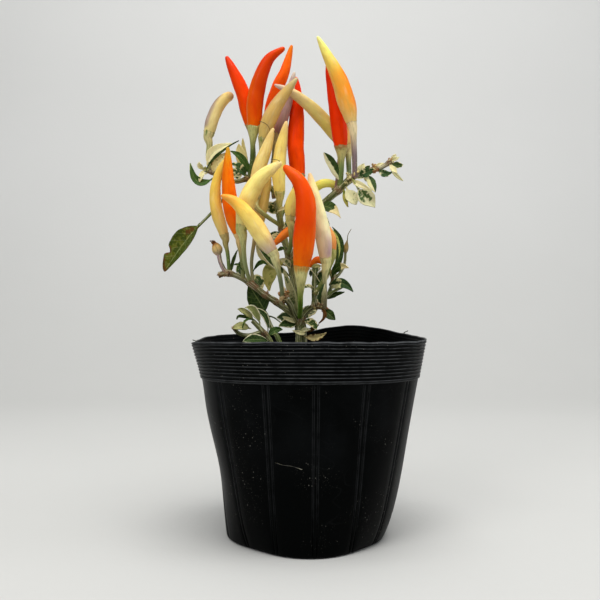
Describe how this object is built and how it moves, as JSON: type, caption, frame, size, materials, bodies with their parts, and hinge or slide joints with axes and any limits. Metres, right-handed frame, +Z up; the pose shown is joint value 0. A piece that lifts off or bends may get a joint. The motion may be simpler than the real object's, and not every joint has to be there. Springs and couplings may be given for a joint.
{
  "type": "potted chilli pepper plant",
  "caption": "Ornamental chilli pepper plant with upright coloured pods and variegated leaves, growing in a thin black nursery pot filled with soil.",
  "frame": {"origin": "centre of the pot's flat base", "axes": "+Z up through the pot's middle, -Y towards the plant's show side, +X to its right"},
  "size_m": [0.1325, 0.1064, 0.2551],
  "materials": {
    "pot_film": "thin satin-black polyethylene with horizontal ridges round the rim",
    "soil": "moist crumbly potting soil",
    "stem": "ribbed green-brown herbaceous stem with brown nodes",
    "leaf": "dark green leaf with cream variegation",
    "pod_red": "smooth waxy red skin",
    "pod_orange": "smooth waxy orange skin",
    "pod_yellow": "smooth waxy pale yellow skin",
    "pod_cream": "smooth waxy cream skin with a lavender blush",
    "pod_mauve": "smooth dull mauve skin, pale at the tip"
  },
  "bodies": {
    "root": {"pot": "pot_film", "soil": "soil", "stem_trunk": "stem", "stem_left": "leaf", "stem_centre": "leaf", "stem_upper": "leaf", "stem_right": "leaf", "stem_lower_right": "leaf", "stem_front_shoot": "leaf", "stem_rear_shoot": "leaf", "pod_red_left": "pod_red", "pod_orange_red": "pod_red", "pod_red_back": "pod_red", "pod_cream_hook": "pod_cream", "pod_tan_upper": "pod_cream", "pod_mauve": "pod_mauve", "pod_yellow_leaning": "pod_yellow", "pod_red_centre": "pod_red", "pod_orange_tall": "pod_yellow", "pod_orange_front": "pod_orange", "pod_yellow_small": "pod_yellow", "pod_lavender": "pod_cream", "pod_orange_sliver": "pod_orange", "pod_yellow_front": "pod_yellow", "pod_yellow_outer": "pod_yellow", "pod_orange_left": "pod_orange", "pod_yellow_large": "pod_yellow", "pod_yellow_inner": "pod_yellow", "pod_yellow_centre": "pod_yellow", "pod_cream_arch": "pod_cream", "pod_red_right": "pod_red", "pod_cream_rear": "pod_cream", "pod_yellow_arched": "pod_yellow", "pod_orange_small": "pod_orange", "pod_orange_low": "pod_orange"}
  },
  "joints": []
}
